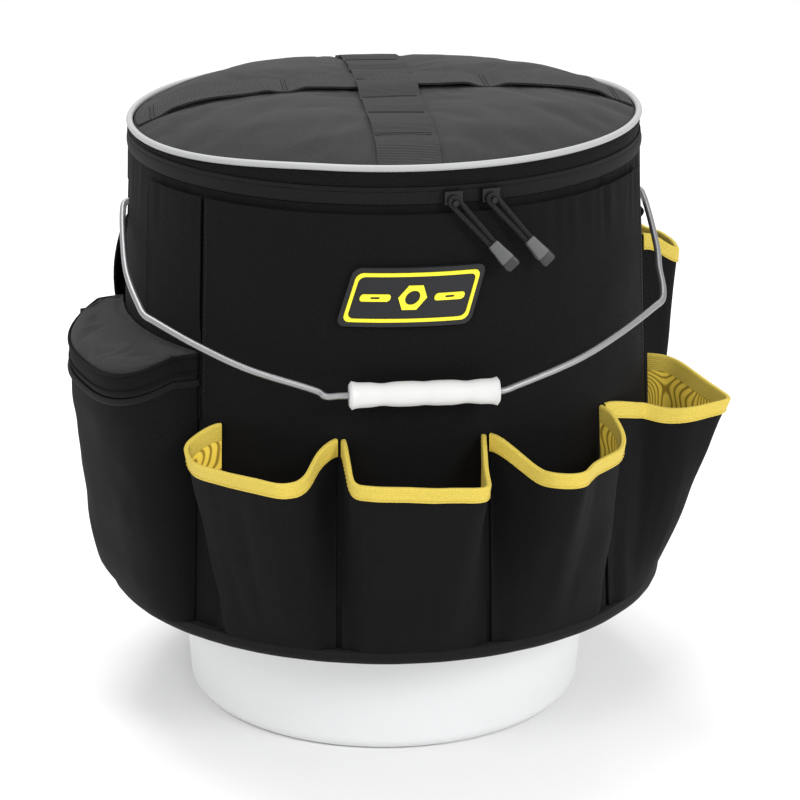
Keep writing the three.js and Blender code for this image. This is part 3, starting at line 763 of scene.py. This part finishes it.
def hem():
    inner = SLEEVE["hem_r"] + GAP
    low, lip = SLEEVE["hem_z"] - 2, HEM_LIP

    def point(u, v):
        z = low + (lip - low) * v
        bulge = 1.6 * math.sin(math.pi * v) ** 0.7
        r = inner + 3.4 + bulge + 0.5 * ripple(u * 40, 0, 5) + smooth(v, 0.75, 1)
        return polar(360 * u, r, z)

    cloth("hem_tape", 288, 8, point, 2.4, "tape", replaced=["hem_binding"], wrap=True)
    under, over = HEM_LIP - 1, HEM_LIP + 0.3
    fold = [(inner - 1.8, under), (inner + 4.4, under), (inner + 4.4, over), (inner - 1.8, over)]
    lathe("hem_fold", fold, "tape", closed=True)


hem()


# ---------- badge ----------
RAISED = (1.9, 2.8)


def badge():
    """A slanted rubber badge with a raised border and a hexagon nut between two bars."""
    z_mid, height, width, slant = 316, 36, 82, 11
    base = sleeve_r(z_mid) + GAP + CLOTH + 1.6

    def place(x, y, lift):
        z = z_mid + y
        lean = 0.5 * (sleeve_r(z_mid - height / 2) - sleeve_r(z_mid + height / 2))
        return polar(math.degrees((x + slant * y / height) / base), base - lean * 2 * y / height + lift, z)

    def rounded(half_w, half_h, r, steps=6):
        corners = []
        for cx, cy, start in ((1, -1, -90), (1, 1, 0), (-1, 1, 90), (-1, -1, 180)):
            for k in range(steps + 1):
                a = math.radians(start + 90 * k / steps)
                corners.append((cx * (half_w - r) + r * math.cos(a), cy * (half_h - r) + r * math.sin(a)))
        dense = []
        for (x0, y0), (x1, y1) in zip(corners, corners[1:] + corners[:1]):
            parts = max(1, int(math.hypot(x1 - x0, y1 - y0) / 3))
            dense += [(x0 + (x1 - x0) * k / parts, y0 + (y1 - y0) * k / parts) for k in range(parts)]
        return dense

    def prism(name, outer, hollow, low, high, material, replaced=()):
        """A flat raised shape; hollow is an outline with as many points as outer, or a centre point."""
        n = len(outer)
        solid_plate = len(hollow) == 1
        rings = [(outer, low), (outer, high - 0.3), ([(x * 0.995, y * 0.99) for x, y in outer], high)]
        vertices = []
        for line, lift in rings:
            vertices += [place(x, y, lift) for x, y in line]
        if solid_plate:
            for share in (0.75, 0.5, 0.25):
                vertices += [place(x * share, y * share, high) for x, y in outer]
            vertices += [place(0, 0, high), place(0, 0, low)]
            faces = walls(n, 5)
            faces += [[5 * n + k, 5 * n + (k + 1) % n, 6 * n] for k in range(n)]
            faces += [[(k + 1) % n, k, 6 * n + 1] for k in range(n)]
        else:
            vertices += [place(x, y, high) for x, y in hollow] + [place(x, y, low) for x, y in hollow]
            faces = walls(n, 4)
            faces += [[4 * n + k, 4 * n + (k + 1) % n, (k + 1) % n, k] for k in range(n)]
        return finish_mesh(name, vertices, faces, [(0, 0)] * len(vertices), material, "organizer", replaced)

    prism("badge_plate", rounded(width / 2 - 1, height / 2, 5), [(0, 0)], 0, 2.2, "rubber", ["badge"])
    border = rounded(width / 2 - 4, height / 2 - 3, 4)
    shrink_x = (width / 2 - 6.2) / (width / 2 - 4)
    shrink_y = (height / 2 - 5.2) / (height / 2 - 3)
    inside = [(x * shrink_x, y * shrink_y) for x, y in border]
    prism("badge_border", border, inside, *RAISED, "yellow_rubber")
    nut = [(8.5 * math.cos(math.radians(60 * k)), 8.5 * math.sin(math.radians(60 * k))) for k in range(6)]
    dense = []
    for (x0, y0), (x1, y1) in zip(nut, nut[1:] + nut[:1]):
        dense += [(x0 + (x1 - x0) * k / 4, y0 + (y1 - y0) * k / 4) for k in range(4)]
    hole = [(4.3 * math.cos(math.atan2(y, x)), 4.3 * math.sin(math.atan2(y, x))) for x, y in dense]
    prism("badge_nut", dense, hole, *RAISED, "yellow_rubber")
    for side in (-1, 1):
        bar = [(side * 22 + x, y) for x, y in rounded(9, 2.2, 2)]
        slim = [(side * 22 + 0.3 * (x - side * 22), 0.3 * y) for x, y in bar]
        prism(f"badge_bar_{'left' if side < 0 else 'right'}", bar, slim, *RAISED, "yellow_rubber")


badge()


# ---------- open pockets ----------
MOUTH_STEPS = 120


def pocket_curve(start, end, seam_z, drop, mouth):
    """The mouth's plan line from seam to seam, evenly resampled as points and directions."""
    half = math.radians((end - start) / 2 - SEAM_GAP)
    r = sleeve_r(seam_z) + GAP + CLOTH
    seams = [Vector((side * r * math.sin(half), r * math.cos(half))) for side in (-1, 1)]
    line = spline([seams[0]] + [Vector(p) for p in mouth] + [seams[1]], 10)
    girth = sum((b - a).length for a, b in zip(line, line[1:]))
    return half, girth, [along(line, k / MOUTH_STEPS) for k in range(MOUTH_STEPS + 1)]


def pocket_point(name, inset, u, v):
    """A point of a pocket's strip: u runs from seam to seam, v from the hem to the mouth."""
    start, end, seam_z, drop, _ = POCKETS[name]
    half, girth, samples = CURVES[name]
    k = min(int(u * MOUTH_STEPS), MOUTH_STEPS - 1)
    (p0, d0), (p1, d1) = samples[k], samples[k + 1]
    share = u * MOUTH_STEPS - k
    p, d = p0.lerp(p1, share), d0.lerp(d1, share).normalized()
    top = Vector((p.x + d.y * inset, p.y - d.x * inset))
    away = min(u, 1 - u) * girth
    out = smooth(away, 0, 26)
    fall = drop * smooth(away, 0, MOUTH_RAMP.get(name, USUAL_RAMP))
    seed = 20 + start / 9
    z = HEM_TOP + (seam_z - fall - HEM_TOP) * v + 1.5 * out * v * ripple(u * 3, 0, seed + 9)
    foot = sleeve_r(HEM_TOP) + GAP + (5 - inset) * out
    angle = (half - inset / foot) * (2 * u - 1)
    reach = v + 0.06 * math.sin(math.pi * v) * out
    local = Vector((foot * math.sin(angle), foot * math.cos(angle))).lerp(top, reach)
    wave = 3.0 * ripple(u * 2.6, v * 1.8, seed) + 1.2 * ripple(u * 8, v * 1.1, seed + 3)
    wave *= out * smooth(v, 0, 0.25) * (1 - 0.6 * smooth(v, 0.85, 1))
    minimum = sleeve_r(z) + GAP + CLOTH - inset
    local *= max(1 + wave / local.length, minimum / local.length)
    return turned_out(local.x, local.y, z, (start + end) / 2)


def pocket(name):
    share = BINDING / (POCKETS[name][2] - HEM_TOP)

    def fold(u, v):
        """The binding's section: up the outside, over the mouth's edge and down the inside."""
        side = 2 * v - 1
        down = smooth(abs(side), 0.1, 1.0) * share
        p = pocket_point(name, 0.5 + 1.55 * clamp(side / 0.14, -1, 1), u, 1 - down)
        lift = 0.9 * math.sqrt(max(0.0, 1 - (side / 0.16) ** 2))
        return p + Vector((0, 0, lift))

    def outer(u, v):
        return pocket_point(name, 0, u, v)

    def inner(u, v):
        return pocket_point(name, 1.4, u, v * 0.995)

    piece = cloth(f"pocket_cloth_{name}", 90, 44, outer, 1.1, "fabric", replaced=[f"pocket_{name}"])
    lining = cloth(f"lining_{name}", 80, 30, inner, 0.4, "lining")
    tape = cloth(f"tape_{name}", 90, 22, fold, 0.7, "binding", replaced=[f"binding_{name}"])
    line = [pocket_point(name, -1.35, 0.01 + 0.98 * k / 80, 1 - 0.86 * share) for k in range(81)]
    thread = stitches(f"tape_stitch_{name}", line, material="gold_thread")


CURVES = {name: pocket_curve(*facts) for name, facts in POCKETS.items()}
for pocket_name in POCKETS:
    pocket(pocket_name)


# ---------- zipped pouch ----------
POUCH_MID = (POUCH["start"] + POUCH["end"]) / 2
POUCH_BASE_R = sleeve_r(POUCH["top_z"]) + GAP
POUCH_HINGE = POUCH_BASE_R + 2.6
POUCH_CLEAR = 0.4


def pouch_plan(u, inset, depth, base_r):
    half = math.radians((POUCH["end"] - POUCH["start"]) / 2) - inset / base_r
    t = math.pi * (1 - u)
    across = signed_power(math.cos(t), 2 / 2.8)
    out = abs(math.sin(t)) ** (2 / 2.8)
    rise = base_r * (1 - math.cos(half)) + depth - inset
    return base_r * math.sin(half) * across, base_r * math.cos(half) + rise * out


def pouch_world(x, y, z):
    return turned_out(x, y, z, POUCH_MID)


def pouch_outside(x, y, z):
    """The pouch's point, moved out to the sleeve's face where it would be inside it."""
    scale = max(1, (sleeve_r(z) + GAP + POUCH_CLEAR) / math.hypot(x, y))
    return pouch_world(x * scale, y * scale, z)


def pouch_rise(out):
    """How much higher the sloping top is than at its outermost edge."""
    return POUCH_SLOPE * (POUCH_BASE_R + POUCH["depth"] - max(out, POUCH_BASE_R + 2))


def pouch_edge(u, inset, z):
    """A point of the pouch's sloping top outline; z is its height at the outermost edge."""
    x, y = pouch_plan(u, inset, POUCH["depth"], POUCH_BASE_R)
    return pouch_outside(x, y, z + pouch_rise(y))


def pouch_wall(u, v):
    depth = POUCH["foot"] + (POUCH["depth"] - POUCH["foot"]) * v**0.7
    x, y = pouch_plan(u, 0, depth, sleeve_r(HEM_TOP + (POUCH["top_z"] - HEM_TOP) * v) + GAP)
    z = HEM_TOP + (POUCH["top_z"] + pouch_rise(y) - HEM_TOP) * v
    free = math.sin(math.pi * u) * smooth(v, 0, 0.2) * smooth(1 - v, 0, 0.2)
    return pouch_outside(x, y + 3.2 * free * ripple(u * 4, v * 2.6, 41), z)


def pouch_tab():
    """A folded webbing loop at the zipper's rear end."""
    out = POUCH_HINGE + 6
    foot = POUCH["lid_z"] - 6 + pouch_rise(out)

    def point(u, v):
        bend = math.pi * v
        height = foot + 15 * math.sin(bend) ** 0.6
        return pouch_world(-73.5 - 1.6 * math.cos(bend), out + 8 * (u - 0.5), height)

    cloth("pouch_loop", 6, 28, point, 1.0, "webbing", replaced=["pouch_tab"])


def pouch():
    top, lid_z, lid_top = POUCH["top_z"], POUCH["lid_z"], POUCH["lid_top"]
    piece = cloth("pouch_wall", 100, 60, pouch_wall, 1.5, "fabric", replaced=["pouch_body"])

    def welt(u, v):
        return pouch_edge(u, -0.6 - 1.3 * math.sin(math.pi * v), top - 4 + 4.2 * v)

    def zip_strip(u, v):
        return pouch_edge(u, 0.6, top + 0.4 + 2.8 * v)

    cloth("pouch_welt", 100, 8, welt, 1.2, "tape")
    cloth("pouch_zip", 100, 2, zip_strip, 1.2, "tape", replaced=["pouch_zipper"])

    start = pouch_world(0, POUCH_HINGE - 2, 0) * MM
    end = pouch_world(0, POUCH_HINGE + 5, 0) * MM
    fold = ("organizer", "pouch_cover", tuple(start), tuple(end))

    def band(u, v):
        return pouch_edge(u, 0.4 - 0.9 * math.sin(math.pi * v), lid_z + (lid_top - 1 - lid_z) * v)

    piece = cloth("pouch_lid_band", 100, 10, band, 1.4, "fabric", fold, ["pouch_lid"])

    def crown(u, v):
        """The padded top: u goes round its outline, v from the sleeve out to its rim."""
        x, rim = pouch_plan(u, 0.8, POUCH["depth"], POUCH_BASE_R)
        wall = math.sqrt((sleeve_r(lid_top + 20) + 1.4) ** 2 - x * x)
        y = wall + max(0.0, rim - wall) * v
        room = smooth(rim - wall, 2, 26)
        puff = 2.6 * room * (1 - (2 * v - 1) ** 4) + 1.5 * room * (1 - v) ** 4
        return pouch_world(x, y, lid_top - 0.6 + pouch_rise(y) + puff)

    nu, nv = 80, 24
    rows = [[crown(i / nu, j / nv) for i in range(nu + 1)] for j in range(nv + 1)]
    sewn = {tuple(p) for row in rows for p in row[:2] + row[-2:]}
    sewn |= {tuple(p) for p in rows[0] + rows[-1]}
    rows = relaxed(rows, False, lambda p: tuple(p) in sewn, 0.012, 0.8, 2.5)
    surface = from_grid(rows, nu, nv)
    top_cloth = cloth("pouch_lid_top", nu, nv, surface, -1.2, "lid_fabric", fold, ["pouch_hinge_flap"])
    for name, z, r in (("pouch_lid_welt", lid_top - 1.0, 1.2), ("pouch_lid_hem", lid_z + 0.8, 1.0)):
        tube(name, [pouch_edge(k / 120, -0.1, z) for k in range(121)], r, "fabric", fold, sides=8)
    pouch_tab()


pouch()


# ---------- liner inside the pail ----------
def liner():
    def inner_r(z):
        return pail_r(z) - PAIL["wall"] - 1.2

    def wall(u, v):
        z = 170 + 198 * v
        r = inner_r(z) - 1.6 + 0.6 * ripple(u * 24, z / 60, 81)
        return polar(360 * (1 - u), r, z)

    piece = cloth("liner_wall", 200, 40, wall, 1.2, "fabric", replaced=["inner_liner"], wrap=True)
    flange = [(inner_r(340) - 1.5, 369.2), (162.7, 368.8), (162.9, 370.4), (inner_r(340) - 1.5, 370.6)]
    lathe("liner_flange", flange, "fabric", closed=True)


def liner_pocket(number):
    start = -23 + 90 * (number - 1)

    def face(u, z, fullness, proud):
        bulge = 1.4 + 7 * fullness * math.sin(math.pi * u)
        return polar(start + 46 * (1 - u), pail_r(z) - PAIL["wall"] - 3.5 - bulge - proud, z)

    def point(u, v):
        return face(u, 182 + 118 * v, v, 1.2)

    def tape(u, v):
        return face(u, 290 + 11 * v, 0.97, 1.9)

    inside = [f"inner_pocket_{number}"]
    piece = cloth(f"liner_pocket_{number}", 30, 20, point, 1.0, "fabric", replaced=inside)
    edge = cloth(f"liner_tape_{number}", 30, 3, tape, 0.6, "binding")


liner()
for number in range(1, 5):
    liner_pocket(number)


# ---------- zipper round the lid ----------
def zipper():
    def tape(u, v):
        z = 370.6 + 7.4 * v
        return polar(360 * u, ZIP_R + 0.6 * math.sin(math.pi * v) + 0.15 * ripple(u * 60, v, 91), z)

    cloth("zip_tape", 288, 8, tape, 1.4, "tape", replaced=["zipper_tape"], wrap=True)

    def hinge(u, v):
        return polar(171 + 18 * u, ZIP_R + 1.9, 365 + 12 * v)

    cloth("hinge_cloth", 24, 6, hinge, 1.2, "fabric", replaced=["lid_hinge_tape"])


zipper()


# ---------- lid ----------
def lid_sag(x, y):
    """The soft lid sits a little lower at its back and on its left."""
    return -6 * (1 - (1 - smooth(y, 10, 150)) * (1 - smooth(-x, 50, 165)))


def dome_z(x, y):
    """Height of the lid's top cloth: it swells quickly inside the piping, then is nearly flat."""
    r = min(math.hypot(x, y) / LID["shoulder_r"], 1)
    soft = smooth(1 - r, 0, 0.25)
    unevenness = 0.7 * soft * ripple(x / 46, y / 34, 101)
    return lid_sag(x, y) + LID["shoulder_z"] + LID["rise"] * (1 - r**5) + unevenness


def lid():
    nu, nv = 144, 40

    def top(i, j):
        r = LID["shoulder_r"] * (0.002 + 0.998 * (1 - j / nv))
        p = polar(360 * i / nu, r, 0)
        quilt = math.sin(math.pi * clamp(abs(p.x) / 150)) * math.sin(math.pi * clamp(abs(p.y) / 150))
        return Vector((p.x, p.y, dome_z(p.x, p.y) + 1.4 * quilt + 0.5 * ripple(p.x / 17, p.y / 60, 103)))

    def sewn(p):
        return min(abs(p.x), abs(p.y)) < WEB_WIDTH / 2 + 3 or math.hypot(p.x, p.y) > LID["shoulder_r"] - 2

    rows = [[top(i, j) for i in range(nu)] for j in range(nv + 1)]
    rows = relaxed(rows, True, sewn, 0.008, 0.5, 2.2)
    surface = from_grid(rows, nu, nv, True)
    top_cloth = cloth("lid_top", nu, nv, surface, 1.6, "lid_fabric", "lid", ["lid_shell"], wrap=True)

    def band(u, v):
        out = LID["outer_r"] - 0.6 + 1.1 * math.sin(math.pi * v)
        p = polar(360 * u, out + 0.5 * ripple(u * 30, v, 111), 0)
        p.z = LID["bottom"] + (LID["top"] + 1.4 + lid_sag(p.x, p.y) - LID["bottom"]) * v
        return p

    piece = cloth("lid_band", 288, 12, band, 1.6, "fabric", "lid", wrap=True)

    def lower_edge(u, v):
        z = LID["bottom"] - 0.6 + 3.0 * v
        out = LID["outer_r"] + 0.9 + 0.5 * math.sin(math.pi * v)
        return polar(360 * u, out + 0.2 * ripple(u * 60, v, 113), z)

    cloth("lid_band_hem", 288, 6, lower_edge, 1.0, "tape", "lid", wrap=True)

    def height(x, y):
        return PIPING["z"] + lid_sag(x, y)

    hoop("piping_ring", PIPING["r"], height, PIPING["tube"], "piping", "lid", ["lid_piping"])


def lid_webbing(name, node, turn, lift, tacks, loose):
    spin = Matrix.Rotation(turn, 4, "Z")

    def surface(x, y, extra):
        p = spin @ Vector((x, y, 0))
        near = min(abs(y - t) for t in tacks)
        puff = loose * smooth(near, 1.5, 14) * (1 + 0.5 * noise.noise(Vector((y / 30, turn, 9))))
        over = lift * smooth(24 - abs(y), -14, 4)
        shoulder = 0.9 + puff * smooth(LID["shoulder_r"] - 6 - abs(y), 0, 14)
        return Vector((p.x, p.y, dome_z(p.x, p.y) + shoulder + over + extra))

    def point(u, v):
        sway = 1.2 * noise.noise(Vector((v * 5, turn, 3)))
        x = WEB_WIDTH * (u - 0.5) + sway
        y = math.sqrt((LID["shoulder_r"] - 1.2) ** 2 - x * x) * (2 * v - 1)
        return surface(x, y, 0.6)

    piece = cloth(name, 16, 260, point, 1.3, "webbing", "lid", [node])
    for k, t in enumerate(tacks):
        for edge in (-1.2, 1.2):
            line = [surface(WEB_WIDTH * (q / 20 - 0.5) * 0.94, t + edge, 0.65) for q in range(21)]
            tack = f"{name}_tack_{k}_{'a' if edge < 0 else 'b'}"
            stitches(tack, line, "lid", 1.5, 1.3, 0.32)


lid()
lid_webbing("web_cross", "lid_webbing_cross", math.pi / 2, 0, (-148, -64, 64, 148), 2.6)
lid_webbing("web_main", "lid_webbing_main", 0, 2.2, (-123, -82, -41, 0, 41, 82, 123), 1.4)


# ---------- bail ----------
def bail_point(x, s):
    tilt = math.radians(BAIL["rest_angle"])
    return Vector((x, -s * math.cos(tilt), EAR["z"] - s * math.sin(tilt)))


def bail():
    leg, kink = BAIL["leg_x"], BAIL["kink_x"]
    half = [(GRIP["s"], x) for x in (22, 44, kink - 5)]
    half += [(BAIL["kink_s"] + 4, kink + 1), (171, 100), (146, 131)]
    half += [(BAIL["bend_s"] + 7, BAIL["bend_x"] - 3.5), (BAIL["bend_s"] + 1, BAIL["bend_x"] + 2)]
    half += [(106, 163), (84, 166), (66, leg), (9, leg)]
    half += [(2.5, leg - 1.5), (0, leg - 6), (0, EAR["outer_x"] - 7)]
    lean = [0 if s == GRIP["s"] else BAIL_LEAN * smooth(s, 80, BAIL["bend_s"]) for s, _ in half]
    points = [bail_point(shift - x, s) for (s, x), shift in reversed(list(zip(half, lean)))]
    points.append(bail_point(0, GRIP["s"]))
    points += [bail_point(shift + x, s) for (s, x), shift in zip(half, lean)]
    tube("wire", spline(points, 8), BAIL["wire_r"], "wire", "bail", ["bail_wire"], 16)

    def hollow(t, centre, width):
        return math.exp(-(((t - centre) / width) ** 2))

    length = GRIP["length"]
    outline = [(GRIP["bore_r"], length / 2), (GRIP["bore_r"], -length / 2)]
    for k in range(61):
        t = k / 60
        end = min(t, 1 - t) * length
        r = 7.6 - 0.9 * hollow(t, 0.22, 0.06) - 0.9 * hollow(t, 0.78, 0.06)
        r -= 0.5 * hollow(t, 0.5, 0.05)
        r += 1.3 * math.exp(-((end / 3.2) ** 2))
        r -= 2.2 * (1 - smooth(end, 0, 1.2))
        outline.append((r, -length / 2 + length * t))
    turn = Matrix.Translation(bail_point(GRIP["shift_x"], GRIP["s"])) @ Matrix.Rotation(math.pi / 2, 4, "Y")
    lathe("grip", outline, "grip", "grip", ["bail_grip"], 48, turn, closed=True)


bail()


# ---------- slider hardware: the CAD solids, with a rounded finish ----------
for side_name in SLIDERS:
    part = bpy.data.objects[f"slider_{side_name}"]
    part.data.materials.clear()
    part.data.materials.append(MATERIALS["hardware"])
    bevel = part.modifiers.new("edge", "BEVEL")
    bevel.width = 0.0006
    bevel.segments = 3
